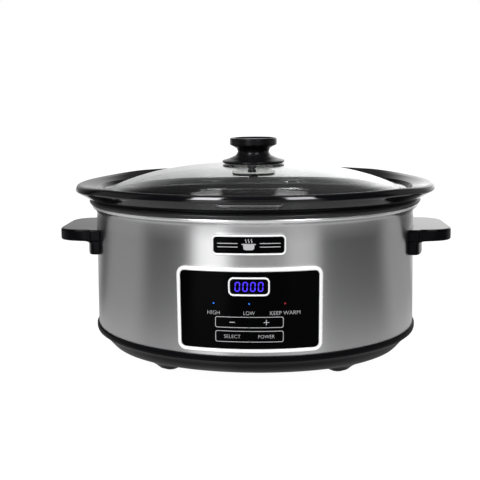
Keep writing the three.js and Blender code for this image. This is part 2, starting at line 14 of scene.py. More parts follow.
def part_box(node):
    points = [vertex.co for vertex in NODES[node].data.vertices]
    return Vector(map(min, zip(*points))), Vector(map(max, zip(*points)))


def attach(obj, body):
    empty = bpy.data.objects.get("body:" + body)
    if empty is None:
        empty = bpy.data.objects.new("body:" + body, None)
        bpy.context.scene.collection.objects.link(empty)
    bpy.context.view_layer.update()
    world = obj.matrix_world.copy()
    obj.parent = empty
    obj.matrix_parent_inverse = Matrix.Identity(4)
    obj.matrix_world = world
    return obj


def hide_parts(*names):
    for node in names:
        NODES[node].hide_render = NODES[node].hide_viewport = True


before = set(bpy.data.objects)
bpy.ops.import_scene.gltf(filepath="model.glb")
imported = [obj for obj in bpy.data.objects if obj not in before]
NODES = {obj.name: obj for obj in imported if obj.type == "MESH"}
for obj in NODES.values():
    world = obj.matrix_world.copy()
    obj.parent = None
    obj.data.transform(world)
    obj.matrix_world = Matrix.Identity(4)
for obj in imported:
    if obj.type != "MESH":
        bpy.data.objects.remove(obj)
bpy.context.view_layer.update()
MM = 0.001
ROUND = 224  # steps around a large oval piece
SMALL_ROUND = 72  # steps around a small turned piece
FRONT_STEP = 3.0  # longest run of a flat shape pressed onto the curved front


def span(node):
    lo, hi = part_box(node)
    return lo / MM, hi / MM


def middle(node):
    return sum(span(node), Vector()) / 2


# ---------- camera ----------

CAMERA_AT = Vector((28.45, -749.93, 280.28)) * MM
CAMERA_YAW, CAMERA_PITCH, CAMERA_ROLL = -0.058, 0.1965, -0.0106
CAMERA_LENS, CAMERA_SENSOR = 53.29, 36.0


def make_camera():
    forward = Vector((
        math.sin(CAMERA_YAW) * math.cos(CAMERA_PITCH),
        math.cos(CAMERA_YAW) * math.cos(CAMERA_PITCH),
        -math.sin(CAMERA_PITCH),
    ))
    level = Vector((math.cos(CAMERA_YAW), -math.sin(CAMERA_YAW), 0))
    upward = level.cross(forward)
    right = level * math.cos(CAMERA_ROLL) + upward * math.sin(CAMERA_ROLL)
    up = upward * math.cos(CAMERA_ROLL) - level * math.sin(CAMERA_ROLL)
    data = bpy.data.cameras.new("camera")
    data.lens, data.sensor_width = CAMERA_LENS, CAMERA_SENSOR
    data.clip_start, data.clip_end = 0.01, 50
    camera = bpy.data.objects.new("camera", data)
    bpy.context.scene.collection.objects.link(camera)
    turn = Matrix((right, up, -forward)).transposed().to_4x4()
    camera.matrix_world = Matrix.Translation(CAMERA_AT) @ turn
    bpy.context.scene.camera = camera


make_camera()


# ---------- node graphs ----------


class Graph:
    """Short calls for building a node tree."""

    def __init__(self, tree):
        self.tree = tree

    def node(self, kind, inputs=None, **settings):
        made = self.tree.nodes.new(kind)
        for key, value in settings.items():
            setattr(made, key, value)
        for key, value in (inputs or {}).items():
            self.feed(made.inputs[key], value)
        return made

    def feed(self, socket, value):
        if isinstance(value, bpy.types.NodeSocket):
            self.tree.links.new(value, socket)
        else:
            socket.default_value = value

    def calc(self, operation, *values):
        made = self.tree.nodes.new("ShaderNodeMath")
        made.operation = operation
        for socket, value in zip(made.inputs, values):
            self.feed(socket, value)
        return made.outputs[0]

    def ramp(self, value, low, high, out_low=0.0, out_high=1.0, kind="SMOOTHSTEP"):
        made = self.node("ShaderNodeMapRange", {
            "Value": value, "From Min": low, "From Max": high, "To Min": out_low, "To Max": out_high,
        }, interpolation_type=kind)
        return made.outputs["Result"]

    def blend(self, share, first, second):
        made = self.node("ShaderNodeMix", data_type="RGBA")
        self.feed(made.inputs["Factor"], share)
        self.feed(made.inputs["A"], first)
        self.feed(made.inputs["B"], second)
        return made.outputs["Result"]


def shade(color, factor):
    return (*(min(1.0, c * factor) for c in color[:3]), 1.0)


def material(name, color, roughness, metallic=0.0, grain=600.0, stretch=(1, 1, 1), bump=0.0,
             uneven=0.1, mottle=0.06, cloud=9.0, **sockets):
    """A finish with its own grain: fine and broad noise, with grain and cloud as their scales.

    uneven and mottle are the shares by which they vary roughness and colour. bump is a height in millimetres.
    """
    made = bpy.data.materials.new(name)
    made.use_nodes = True
    graph = Graph(made.node_tree)
    shader = made.node_tree.nodes["Principled BSDF"]
    coord = graph.node("ShaderNodeTexCoord").outputs["Object"]
    stretched = graph.node("ShaderNodeMapping", {"Vector": coord, "Scale": stretch}).outputs["Vector"]
    fine, broad = (
        graph.node("ShaderNodeTexNoise", {"Vector": place, "Scale": scale, "Detail": detail}).outputs["Fac"]
        for place, scale, detail in ((stretched, grain, 3.0), (coord, cloud, 2.0)))
    both = graph.calc("MULTIPLY_ADD", broad, 0.5, graph.calc("MULTIPLY", fine, 0.5))
    shader.inputs["Metallic"].default_value = metallic
    smooth, rough = max(0.01, roughness * (1 - uneven)), min(1.0, roughness * (1 + uneven))
    graph.feed(shader.inputs["Roughness"], graph.ramp(both, 0.3, 0.7, smooth, rough, "LINEAR"))
    graph.feed(shader.inputs["Base Color"], graph.blend(
        both, shade(color, 1 - mottle), shade(color, 1 + mottle)))
    if bump:
        lifted = graph.node("ShaderNodeBump", {"Height": fine, "Distance": bump * MM, "Strength": 1.0})
        graph.feed(shader.inputs["Normal"], lifted.outputs["Normal"])
    for key, value in sockets.items():
        shader.inputs[key.replace("_", " ")].default_value = value
    return made


def around_z(made, amount, turn):
    """Brushing that runs around the piece: the sheen spreads up and down across it."""
    graph = Graph(made.node_tree)
    shader = made.node_tree.nodes["Principled BSDF"]
    tangent = graph.node("ShaderNodeTangent", direction_type="RADIAL", axis="Z")
    graph.feed(shader.inputs["Tangent"], tangent.outputs["Tangent"])
    shader.inputs["Anisotropic"].default_value = amount
    shader.inputs["Anisotropic Rotation"].default_value = turn


def lit(name, color, strength):
    return material(name, color, 0.3, grain=900.0, Emission_Color=(*color, 1), Emission_Strength=strength)


STEEL = material("brushed_steel", (0.6, 0.6, 0.605), 0.27, 1.0, grain=5.0, stretch=(1, 1, 400),
                 uneven=0.006, mottle=0.012, cloud=2.0)
around_z(STEEL, 0.8, 0.25)
CHROME = material("bright_trim", (0.95, 0.95, 0.955), 0.24, 0.3, grain=300.0, uneven=0.2, mottle=0.02)
ROLLED = material("rolled_edge", (0.84, 0.845, 0.85), 0.2, 0.6, grain=6.0, stretch=(1, 1, 300),
                  mottle=0.03)
ZINC = material("plain_steel", (0.6, 0.61, 0.62), 0.38, 1.0, grain=700.0, bump=0.003)
ENAMEL = material("coated_steel", (0.014, 0.014, 0.015), 0.33, grain=1500.0, bump=0.006)
# On the black mouldings the specular tint takes down the reflection head on, and not at a glancing angle.
GLOSS = material("gloss_black", (0.002, 0.002, 0.0025), 0.12, grain=260.0, bump=0.001, uneven=0.2,
                 Specular_Tint=(0.13, 0.13, 0.14, 1))
SATIN = material("satin_black", (0.003, 0.003, 0.0035), 0.28, grain=2400.0, bump=0.004, uneven=0.15,
                 Specular_Tint=(0.28, 0.28, 0.3, 1))
BASE = material("base_black", (0.003, 0.003, 0.0035), 0.42, grain=2400.0, bump=0.004, uneven=0.15,
                Specular_Tint=(0.1, 0.1, 0.11, 1), Specular_IOR_Level=0.07)
KNOB = material("knob_black", (0.004, 0.004, 0.0045), 0.24, grain=1800.0, bump=0.002, uneven=0.15,
                Specular_Tint=(0.4, 0.4, 0.42, 1))
PANEL = material("panel_black", (0.0005, 0.0005, 0.0007), 0.1, grain=200.0, uneven=0.25,
                 Specular_IOR_Level=0.03)
GLAZE = material("glazed_crock", (0.003, 0.003, 0.0035), 0.06, grain=60.0, bump=0.004, uneven=0.3,
                 cloud=25.0, Specular_Tint=(0.95, 0.95, 0.97, 1))
GLASS = material("lid_glass", (0.98, 0.99, 0.985), 0.012, grain=40.0, uneven=0.3, mottle=0.01,
                 Transmission_Weight=1.0, IOR=1.5)
RUBBER = material("rubber", (0.011, 0.011, 0.0115), 0.72, grain=3000.0, bump=0.02)
SILICONE = material("silicone", (0.78, 0.78, 0.75), 0.42, grain=500.0, bump=0.004,
                    Subsurface_Weight=0.2)
# The seal's emission is painted light: a glow that stands in for the light reaching it through the glass
# dome.
SEAL_PAINTED_GLOW = material("translucent_seal_painted_glow", (0.82, 0.82, 0.8), 0.4, grain=500.0, bump=0.004,
                Subsurface_Weight=0.2, Emission_Color=(0.9, 0.9, 0.88, 1), Emission_Strength=0.7)
SOLDER_MASK = material("circuit_board", (0.02, 0.12, 0.05), 0.35, grain=1800.0, bump=0.01, mottle=0.2)
MOULDED = material("component_black", (0.016, 0.016, 0.018), 0.45, grain=2200.0, bump=0.01)
FELT = material("insulation", (0.72, 0.7, 0.63), 0.95, grain=1400.0, stretch=(1, 1, 0.4), bump=0.12,
                mottle=0.14)
MICA = material("mica", (0.42, 0.31, 0.16), 0.42, grain=260.0, bump=0.01, mottle=0.3)
WIRE = material("wire_red", (0.48, 0.05, 0.03), 0.45, grain=900.0, bump=0.004)
PRINT = material("panel_print", (0.36, 0.36, 0.37), 0.5, grain=1200.0, mottle=0.05)
BLUE_LIGHT = lit("blue_light", (0.045, 0.02, 0.7), 0.9)
BLUE_LAMP = lit("blue_lamp", (0.03, 0.2, 0.85), 0.5)
RED_LIGHT = lit("red_light", (0.5, 0.02, 0.03), 0.2)

# ---------- mesh helpers ----------


def add_object(name, mesh):
    made = bpy.data.objects.new(name, mesh)
    bpy.context.scene.collection.objects.link(made)
    return made


def mesh_of(work, name):
    mesh = bpy.data.meshes.new(name)
    work.to_mesh(mesh)
    work.free()
    return mesh


def mesh_from(name, points, faces):
    mesh = bpy.data.meshes.new(name)
    mesh.from_pydata([tuple(float(c) * MM for c in p) for p in points], [], faces)
    mesh.update()
    return mesh


def tidy_mesh(mesh):
    """Merges doubled points and turns every face outwards."""
    work = bmesh.new()
    work.from_mesh(mesh)
    bmesh.ops.remove_doubles(work, verts=work.verts, dist=0.002 * MM)
    bmesh.ops.dissolve_degenerate(work, edges=work.edges, dist=0.001 * MM)
    bmesh.ops.recalc_face_normals(work, faces=work.faces)
    work.to_mesh(mesh)
    work.free()


def finished(piece, look, body, replaces=(), sharp=38):
    """Gives a piece, or a mesh to make one of, its finish and body, and hides the CAD nodes it replaces."""
    if isinstance(piece, bpy.types.Mesh):
        piece = add_object(piece.name, piece)
    tidy_mesh(piece.data)
    piece.data.materials.clear()
    piece.data.materials.append(look)
    piece.data.shade_smooth()
    piece.data.set_sharp_from_angle(angle=math.radians(sharp))
    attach(piece, body)
    if replaces:
        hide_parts(*([replaces] if isinstance(replaces, str) else replaces))
    return piece


def plain_places(section):
    return [np.array([*p[:3], p[4] if len(p) > 4 else 0.0]) for p in section]


def softened(section, steps=4, closed=False):
    """Rounds the corners of a section. A point is (half width, half depth, height, radius, extra)."""
    places = plain_places(section)
    count = len(places)
    sides = [places[(i + 1) % count] - places[i] for i in range(count)]
    sizes = [math.hypot(side[0], side[2]) for side in sides]
    trims = []
    for i in range(count):
        radius = section[i][3] if len(section[i]) > 3 else 0.0
        if radius <= 0 or (not closed and i in (0, count - 1)):
            trims.append(0.0)
            continue
        before, after = sides[i - 1], sides[i]
        cosine = -(before[0] * after[0] + before[2] * after[2]) / (sizes[i - 1] * sizes[i])
        half = math.acos(max(-1.0, min(1.0, cosine))) / 2
        trims.append(min(radius / max(math.tan(half), 0.05), sizes[i - 1] * 0.94, sizes[i] * 0.94))
    for i in range(count):
        n = (i + 1) % count
        total = trims[i] + trims[n]
        if total > sizes[i] * 0.96:
            trims[i], trims[n] = (t * sizes[i] * 0.96 / total for t in (trims[i], trims[n]))
    out = []
    for i, here in enumerate(places):
        if trims[i] <= 0:
            out.append(here)
            continue
        start = here - sides[i - 1] / sizes[i - 1] * trims[i]
        end = here + sides[i] / sizes[i] * trims[i]
        for k in range(steps + 1):
            t = k / steps
            out.append((1 - t) ** 2 * start + 2 * t * (1 - t) * here + t * t * end)
    return out


def flowing(section, per=5):
    """A smooth curve through the points of a section."""
    places = plain_places(section)
    places = [2 * places[0] - places[1], *places, 2 * places[-1] - places[-2]]
    out = []
    for p0, p1, p2, p3 in zip(places, places[1:], places[2:], places[3:]):
        for k in range(per):
            t = k / per
            out.append(0.5 * (2 * p1 + (p2 - p0) * t + (2 * p0 - 5 * p1 + 4 * p2 - p3) * t**2
                              + (3 * p1 - p0 - 3 * p2 + p3) * t**3))
    out.append(places[-2])
    return out


def grid_faces(size, count):
    """The faces between rings of points, where ring number count is the first ring again."""
    rings = [[(i * size + k, i * size + (k + 1) % size) for k in range(size)] for i in range(count)]
    return [[(*low, *high[::-1]) for low, high in zip(ring, rings[(i + 1) % count])]
            for i, ring in enumerate(rings)]


def spun(name, rings, steps=ROUND, move=None):
    """An oval turned mesh. The rings run once round the section, from axis to axis or in a closed loop."""
    points, loops = [], []
    for ring in rings:
        a, b, z = ring[:3]
        if a < 1e-6:
            loops.append([len(points)] * steps)
            points.append((0.0, 0.0, z) if move is None else move(0.0, 0.0, z, ring))
            continue
        loops.append(list(range(len(points), len(points) + steps)))
        for k in range(steps):
            turn = 2 * math.pi * (k + 0.5) / steps
            x, y = a * math.sin(turn), -b * math.cos(turn)
            points.append((x, y, z) if move is None else move(x, y, z, ring))
    pairs = list(zip(loops, loops[1:]))
    if rings[0][0] > 1e-6:
        pairs.append((loops[-1], loops[0]))
    faces = []
    for low, high in pairs:
        for k in range(steps):
            n = (k + 1) % steps
            corners = list(dict.fromkeys((low[k], low[n], high[n], high[k])))
            if len(corners) > 2:
                faces.append(corners)
    return mesh_from(name, points, faces)


def lathed(name, section, steps=SMALL_ROUND, rounding=4, closed=False, place=None):
    """A round turned mesh from (radius, height, corner radius) points, moved by a matrix in millimetres."""
    rings = softened([(r, r, z, soft) for r, z, soft in section], rounding, closed)
    mesh = spun(name, rings, steps)
    if place is not None:
        shift = place.copy()
        shift.translation *= MM
        mesh.transform(shift)
    return mesh


def join_meshes(name, meshes):
    work = bmesh.new()
    for mesh in meshes:
        work.from_mesh(mesh)
    return mesh_of(work, name)


def block_mesh(name, lo, hi, bevel=0.3):
    work = bmesh.new()
    bmesh.ops.create_cube(work, size=1.0)
    size = (Vector(hi) - Vector(lo)) * MM
    centre = (Vector(hi) + Vector(lo)) * MM / 2
    for vertex in work.verts:
        vertex.co = Vector(c * s for c, s in zip(vertex.co, size)) + centre
    bmesh.ops.bevel(work, geom=list(work.edges), offset=bevel * MM, segments=3, affect="EDGES",
                    profile=0.5)
    return mesh_of(work, name)


def drill(radius, low, high, steps, place):
    """A plain cylinder to cut with."""
    section = [(0, low, 0), (radius, low, 0), (radius, high, 0), (0, high, 0)]
    return add_object("drill", lathed("drill", section, steps, place=place))


def evaluated_mesh(piece):
    return bpy.data.meshes.new_from_object(piece.evaluated_get(bpy.context.evaluated_depsgraph_get()))


def carve(piece, cutters):
    """Takes the cutters' volume out of a piece for good."""
    for cutter in cutters:
        modifier = piece.modifiers.new("cut", "BOOLEAN")
        modifier.operation, modifier.solver, modifier.object = "DIFFERENCE", "EXACT", cutter
    mesh = evaluated_mesh(piece)
    piece.modifiers.clear()
    piece.data = mesh
    for cutter in cutters:
        bpy.data.objects.remove(cutter)
    return piece


# ---------- the oval wall ----------

WRAP_FOOT = span("outer_wrap")[0].z
LIP_TOP = WRAP_FOOT + 1  # the wall stands 1 mm down in a groove in the base's lip
WALL_LOW = (169.8, 126.8, LIP_TOP)  # half width, half depth and height of the wall's lower end
WALL_HIGH = (166.8, 123.8, 166.5)  # and of the upper end, under the rolled bead
WALL_THICK = 1.0
BEAD = ((168.2, 125.2, 169.2), (170.8, 127.8, 171.2), (171.4, 128.4, 172.9), (170.8, 127.8, 174.4),
        (169.6, 126.6, 174.8), (168.8, 125.8, 173.6), (166.2, 123.2, 170.4))
BEAD_FACE = WALL_HIGH[2] + 5.4  # above this height the bead is polished
PANEL_OPENING = ((-56, -170, 57), (56, -80, 123))  # what is cut out of the wall behind the panel
GLAND_NECK = 7.0  # radius of the cord gland where it passes through the wall
CUT_GAP = 0.3  # play between the gland's neck and its hole


def wall_ring(z, offset=0.0):
    t = (z - WALL_LOW[2]) / (WALL_HIGH[2] - WALL_LOW[2])
    return (WALL_LOW[0] + (WALL_HIGH[0] - WALL_LOW[0]) * t + offset,
            WALL_LOW[1] + (WALL_HIGH[1] - WALL_LOW[1]) * t + offset, z)


def on_front(x, z, offset):
    a, b, _ = wall_ring(z, offset)
    return (x, -b * math.sqrt(max(0.0, 1 - (x / a) ** 2)), z)


def rounded_rect(x0, x1, z0, z1, radius, steps=8, spacing=FRONT_STEP):
    """The outline of a rounded rectangle as (x, z, outward x, outward z) points."""
    out = []
    for cx, cz, start in ((x1 - radius, z0 + radius, -90), (x1 - radius, z1 - radius, 0),
                          (x0 + radius, z1 - radius, 90), (x0 + radius, z0 + radius, 180)):
        corner = []
        for k in range(steps + 1):
            turn = math.radians(start + 90 * k / steps)
            nx, nz = math.cos(turn), math.sin(turn)
            corner.append((cx + radius * nx, cz + radius * nz, nx, nz))
        if out:
            out += straight(out[-1], corner[0], spacing)
        out += corner
    return out + straight(out[-1], out[0], spacing)


def straight(start, end, spacing):
    """The points between two ends of a straight side."""
    run_x, run_z = end[0] - start[0], end[1] - start[1]
    parts = int(math.hypot(run_x, run_z) / spacing) + 1
    return [(start[0] + run_x * k / parts, start[1] + run_z * k / parts, *start[2:]) for k in range(1, parts)]


def flat_outlines(paths, thick, bevel=0.0):
    """Filled flat outlines with a thickness, as a mesh in the XY plane in millimetres."""
    curve = bpy.data.curves.new("outline", "CURVE")
    curve.dimensions, curve.fill_mode = "2D", "BOTH"
    curve.extrude = thick / 2 - bevel
    if bevel:
        curve.bevel_depth, curve.bevel_resolution, curve.offset = bevel, 2, -bevel
    for path in paths:
        spline = curve.splines.new("POLY")
        spline.points.add(len(path) - 1)
        for point, place in zip(spline.points, path):
            point.co = (place[0], place[1], 0, 1)
        spline.use_cyclic_u = True
    return mesh_of_curve(curve)


def flat_text(text, width, height, thick):
    """Lettering as a mesh in the XY plane in millimetres, centred and fitted to a width and a height."""
    curve = bpy.data.curves.new("lettering", "FONT")
    curve.body, curve.size, curve.resolution_u = text, 10.0, 4
    curve.extrude, curve.offset = thick / 2, -0.14
    mesh = mesh_of_curve(curve)
    places = np.array([v.co for v in mesh.vertices])
    lo, hi = places.min(0), places.max(0)
    for vertex in mesh.vertices:
        vertex.co.x = (vertex.co.x - (lo[0] + hi[0]) / 2) * width / (hi[0] - lo[0])
        vertex.co.y = (vertex.co.y - (lo[1] + hi[1]) / 2) * height / (hi[1] - lo[1])
    return mesh


def mesh_of_curve(curve):
    holder = add_object("outline", curve)
    mesh = evaluated_mesh(holder)
    bpy.data.objects.remove(holder)
    bpy.data.curves.remove(curve)
    return mesh


def pressed(name, mesh, offset, at=(0.0, 0.0)):
    """Presses a flat mesh onto the curved front: its X and Y become x and height, its Z the offset."""
    work = bmesh.new()
    work.from_mesh(mesh)
    for vertex in work.verts:
        vertex.co.x += at[0]
        vertex.co.y += at[1]
    low = min(v.co.x for v in work.verts)
    high = max(v.co.x for v in work.verts)
    for k in range(math.ceil(low / FRONT_STEP), math.floor(high / FRONT_STEP) + 1):
        everything = list(work.verts) + list(work.edges) + list(work.faces)
        bmesh.ops.bisect_plane(work, geom=everything, plane_co=(k * FRONT_STEP, 0, 0), plane_no=(1, 0, 0),
                               dist=1e-4)
    for vertex in work.verts:
        x, y, z = vertex.co
        vertex.co = Vector(on_front(x, y, offset + z)) * MM
    bpy.data.meshes.remove(mesh)
    return mesh_of(work, name)


def weighted(piece):
    """Lets large flat faces set the shading next to their small bevels."""
    modifier = piece.modifiers.new("even_normals", "WEIGHTED_NORMAL")
    modifier.keep_sharp = True
    return piece


def rect_path(x0, x1, z0, z1, radius, steps=8):
    return [(x, z) for x, z, _, _ in rounded_rect(x0, x1, z0, z1, radius, steps, spacing=1e9)]


def circle_path(x, z, radius, steps=32):
    return [(x + radius * math.cos(2 * math.pi * k / steps), z + radius * math.sin(2 * math.pi * k / steps))
            for k in range(steps)]


# ---------- housing ----------


def steel_wrap():
    """The brushed wall with its rolled bead, the opening behind the panel and the cord's hole."""
    outside = [(*wall_ring(WRAP_FOOT + (WALL_HIGH[2] - WRAP_FOOT) * k / 8), 0) for k in range(9)]
    inner_high = (WALL_HIGH[0] - WALL_THICK, WALL_HIGH[1] - WALL_THICK, WALL_HIGH[2], 1)
    inside = [(*wall_ring(WRAP_FOOT, -WALL_THICK), 0)]
    section = inside + outside + [(*ring, 1.5) for ring in BEAD] + [inner_high]
    body = add_object("steel_wrap", spun("steel_wrap", softened(section, 4, closed=True)))
    opening = add_object("opening", block_mesh("opening", *PANEL_OPENING, bevel=4))
    carve(body, [opening, drill(GLAND_NECK + CUT_GAP, 100, 150, 32, along_y())])
    finished(body, STEEL, "housing", "outer_wrap", 30)
    body.data.materials.append(ROLLED)
    for face in body.data.polygons:
        if face.center.z > BEAD_FACE * MM:
            face.material_index = 1


def along_y():
    """Lays a lathed piece along the cord gland's axis."""
    return Matrix.Translation((0, 0, middle("cord_gland").z)) @ Matrix.Rotation(-math.pi / 2, 4, "X")


def well_liner():
    """The coated steel well that the crock stands in, with its rolled flange."""
    under, thick = 58.6, 1.2
    outside = [(130, 86.5, under, 5), (144, 100.5, 64, 8), (150.2, 106.7, 78, 10), (156.2, 112.7, 172, 2)]
    flange = [(158, 114.5, 175.1, 1.2), (172.6, 129.6, 175.1, 0.8), (173.9, 130.9, 177.4, 1.6),
              (171.2, 128.2, 180.4, 1.6), (157, 113.5, 180.4, 2.4)]
    inside = [(a - thick, b - thick, z + (thick if z < 70 else 0), soft)
              for a, b, z, soft in reversed(outside)]
    hole = [(10.5, 10.5, under, 0.3), (60, 40, under, 0)]  # the sensor comes up through it
    inner_hole = [(60, 40, under + thick, 0), (10.5, 10.5, under + thick, 0.3)]
    rings = softened(hole + outside + flange + inside + inner_hole, 5, closed=True)
    finished(spun("well_liner", rings), ENAMEL, "housing", "heating_well", 40)


FOOT_NAMES = ("front_left", "front_right", "rear_left", "rear_right")
BOSS_LOW, BOSS_RADIUS, BOSS_BLEND = 2.6, 12.5, 3.6  # a foot boss: its underside, flat part and fillet
BOSS_REACH = 40  # no boss changes the base farther out than this
PAD_WELL = (8.8, -1, 3.7)  # radius, start and end of the hole for a rubber foot
SCREW_WELL = (4.6, 0, 30)  # and of the hole for a base screw
VENTS, VENT_STEP, VENT_HALF = (-2, -1, 0, 1, 2), 14, (2, 8)  # slots through the floor: places, half size
VENT_MIDDLE = 42  # how far behind the middle they lie


def pan_shell():
    """The moulded base: a lip under the steel, a deep tuck-in, foot bosses, vents and screw wells."""
    centres = [middle("foot_" + name) for name in FOOT_NAMES]
    lip, floor = LIP_TOP, 7.5
    outside = flowing([(92, 40, floor), (122, 56, floor), (131, 64, floor + 0.3), (137.9, 71, 9),
                       (143.1, 81.4, 12), (148.4, 91.4, 16), (153.3, 101.3, 20), (156.4, 109.8, 24),
                       (159.1, 115.8, 28), (162.2, 120, 32), (165.9, 123.1, 36), (169.6, 126.1, 39.2)], 7)
    edge = softened([(169.6, 126.1, 39.2), (171.2, 127.8, 40.4, 1.5), (171.8, 128.6, 42.6, 2),
                     (171.7, 128.5, lip, 0.7), (170.3, 127.3, lip, 0.4), (170.3, 127.3, lip - 1.3, 0.2),
                     (167.6, 124.6, lip - 1.3, 0.6), (164, 121, 40, 2)], 5)
    inside = flowing([(162, 119, 37.2), (155.4, 111, 29), (150, 98, 21.5), (138, 76, 12.5),
                      (122, 56, 10.2), (60, 30, 10)], 5)
    lower = plain_places([(0, 0, floor), (40, 20, floor)]) + outside + edge[1:]
    upper = inside + plain_places([(0, 0, 10)])
    for ring in lower:
        ring[3] = 1.0  # this part of the section takes the foot bosses, and the inside doesn't
    for ring in upper:
        ring[3] = 0.0

    def bossed(x, y, z, ring):
        if not ring[3] or z > 34:
            return x, y, z
        for centre in centres:
            far = math.hypot(x - centre.x, y - centre.y)
            if far < BOSS_REACH:
                boss = BOSS_LOW + max(0.0, far - BOSS_RADIUS)
                share = max(0.0, min(1.0, 0.5 + 0.5 * (z - boss) / BOSS_BLEND))
                z = z * (1 - share) + boss * share - BOSS_BLEND * share * (1 - share)
        return x, y, z

    body = add_object("pan_shell", spun("pan_shell", lower + upper, 320, bossed))
    wells = [(centre, *PAD_WELL) for centre in centres]
    wells += [(middle("base_screw_" + name), *SCREW_WELL) for name in FOOT_NAMES]
    cutters = [drill(radius, low, high, 40, Matrix.Translation((centre.x, centre.y, 0)))
               for centre, radius, low, high in wells]
    half, deep = VENT_HALF
    for x in (k * VENT_STEP for k in VENTS):
        path = rect_path(x - half, x + half, VENT_MIDDLE - deep, VENT_MIDDLE + deep, half - 0.1, 6)
        slot = flat_outlines([path], 30)
        slot.transform(Matrix.Scale(MM, 4))
        cutters.append(add_object("slot", slot))
    carve(body, cutters)
    finished(body, BASE, "housing", "base_pan", 40)


def feet():
    """The rubber feet: a round pad with a shallow cup under it."""
    for name in FOOT_NAMES:
        lo, hi = span(f"foot_{name}")
        x, y, r = (lo.x + hi.x) / 2, (lo.y + hi.y) / 2, (hi.x - lo.x) / 2
        section = [(0, 0.5, 0), (3.2, 0.5, 0.2), (3.4, 0, 0.2), (r - 1.2, 0, 0.8), (r, 1.2, 0.8),
                   (r, hi.z, 0.2), (0, hi.z, 0)]
        mesh = lathed("pad_" + name, section, place=Matrix.Translation((x, y, 0)))
        finished(mesh, RUBBER, "housing", "foot_" + name)


LEDGE_THICK = 12
PLATE_DEPTH, PLATE_GAP = 9.0, 0.35  # how far the handle's plate stands off the wall, and starts off it
CORNER_STEPS = 7


def handle(side, word):
    """One moulded handle: a flat ledge for the fingers on a plate that follows the steel wall."""
    lo, hi = span("handle_" + word)
    top, low, under = hi.z, lo.z, hi.z - LEDGE_THICK
    reach = max(abs(lo.x), abs(hi.x)) - wall_ring(under)[0]
    half_plate, half_ledge, plate, near = hi.y, hi.y - 3, PLATE_DEPTH, PLATE_GAP

    def outline(depth, plate_depth, inset):
        """Corners in plan as (distance out from the wall, along the wall, corner radius)."""
        half_p, half_l = half_plate - inset, half_ledge - inset
        big = min(22.0, max(2.5, depth - plate_depth - 1.0))
        right = [(near, -half_p, 0.1), (plate_depth, -half_p, 2.6), (plate_depth, -half_l, 0.6),
                 (depth, -half_l, big)]
        return right + [(d, -q, r) for d, q, r in reversed(right)]

    def ring(depth, z, inset=0.0, straightness=1.0, plate_depth=plate):
        a, b, _ = wall_ring(z)
        plan = [(d, 0, q, r) for d, q, r in outline(depth, plate_depth, inset)]
        corners = softened(plan, CORNER_STEPS, closed=True)
        made = []
        for i, (d, _, q, _) in enumerate(corners):
            after = corners[(i + 1) % len(corners)]
            # A straight run follows the last point of a corner.
            pieces = 12 if i % (CORNER_STEPS + 1) == CORNER_STEPS else 1
            for k in range(pieces):
                dd, qq = d + (after[0] - d) * k / pieces, q + (after[2] - q) * k / pieces
                base = a * math.sqrt(1 - (qq / b) ** 2)
                pull = straightness * max(0.0, dd - near) / max(depth - near, 0.1) * (a - base)
                made.append((side * (base + dd + pull), qq, z))
        return made

    profile = [  # depth from the wall, height, inset, how straight the outer edge is
        (plate + 0.05, low, 1.3, 0), (plate + 0.25, low + 0.4, 0.45, 0), (plate + 0.3, low + 1.3, 0, 0),
        (plate + 0.3, under - 3, 0, 0), (plate + 0.4, under - 1.9, 0, 0.05),
        (plate + 0.8, under - 0.9, 0, 0.15), (plate + 1.7, under - 0.3, 0, 0.3),
        (plate + 3.4, under - 0.05, 0, 0.5), (reach - 2.2, under, 0.9, 1),
        (reach - 0.8, under + 0.35, 0.3, 1), (reach - 0.1, under + 1.2, 0, 1), (reach, under + 2.6, 0, 1),
        (reach, top - 2.6, 0, 1), (reach - 0.1, top - 1.5, 0.05, 1), (reach - 0.5, top - 0.7, 0.3, 1),
        (reach - 1.1, top - 0.22, 0.8, 1), (reach - 2.2, top, 1.7, 1),
    ]
    rings = []
    for depth, z, inset, straightness in profile:
        shrink = 0.9 * inset if z in (low, top) else 0.6 * inset
        rings.append(ring(depth, z, inset, straightness, plate - (shrink if z > under or z < low + 1 else 0)))
    points = [p for made in rings for p in made]
    size, count = len(rings[0]), len(rings)
    faces = [tuple(range(size)), tuple(reversed(range((count - 1) * size, count * size)))]
    mesh = mesh_from("grip_" + word, points, sum(grid_faces(size, count)[:-1], faces))
    weighted(finished(mesh, GLOSS, "housing", "handle_" + word, 60))


def cord_gland():
    """The cord's rubber outlet: a flange inside the wall, a neck through it and a collar outside."""
    back, neck = span("cord_gland")[1].y, GLAND_NECK
    section = [(4, back - 12.6, 0.5), (9, back - 12.6, 0.6), (9, back - 8.6, 0.6), (neck, back - 8.6, 0.3),
               (neck, back - 3, 0.3), (10, back - 3, 0.4), (10, back - 1.2, 0.9), (9, back, 0.9),
               (4, back, 0.8)]
    mesh = lathed("outlet_gland", section, 64, closed=True, place=along_y())
    finished(mesh, RUBBER, "housing", "cord_gland")


# ---------- control panel ----------

LENS_FRONT = 2.5  # how far the panel's face stands off the steel wall
PRINT_THICK = 0.12


def trim(name, node, corner, section, rounding=3):
    """A bright ring around a CAD node's edge: a section of (inset, offset, corner radius) swept around it."""
    lo, hi = span(node)
    outline = rounded_rect(lo.x, hi.x, lo.z, hi.z, corner, 10)
    loop = softened([(u, 0, v, soft) for u, v, soft in section], rounding, closed=True)
    points = [on_front(x - u * nx, z - u * nz, v) for x, z, nx, nz in outline for u, _, v, _ in loop]
    mesh = mesh_from(name, points, sum(grid_faces(len(loop), len(outline)), []))
    finished(mesh, CHROME, "housing", node, 45)


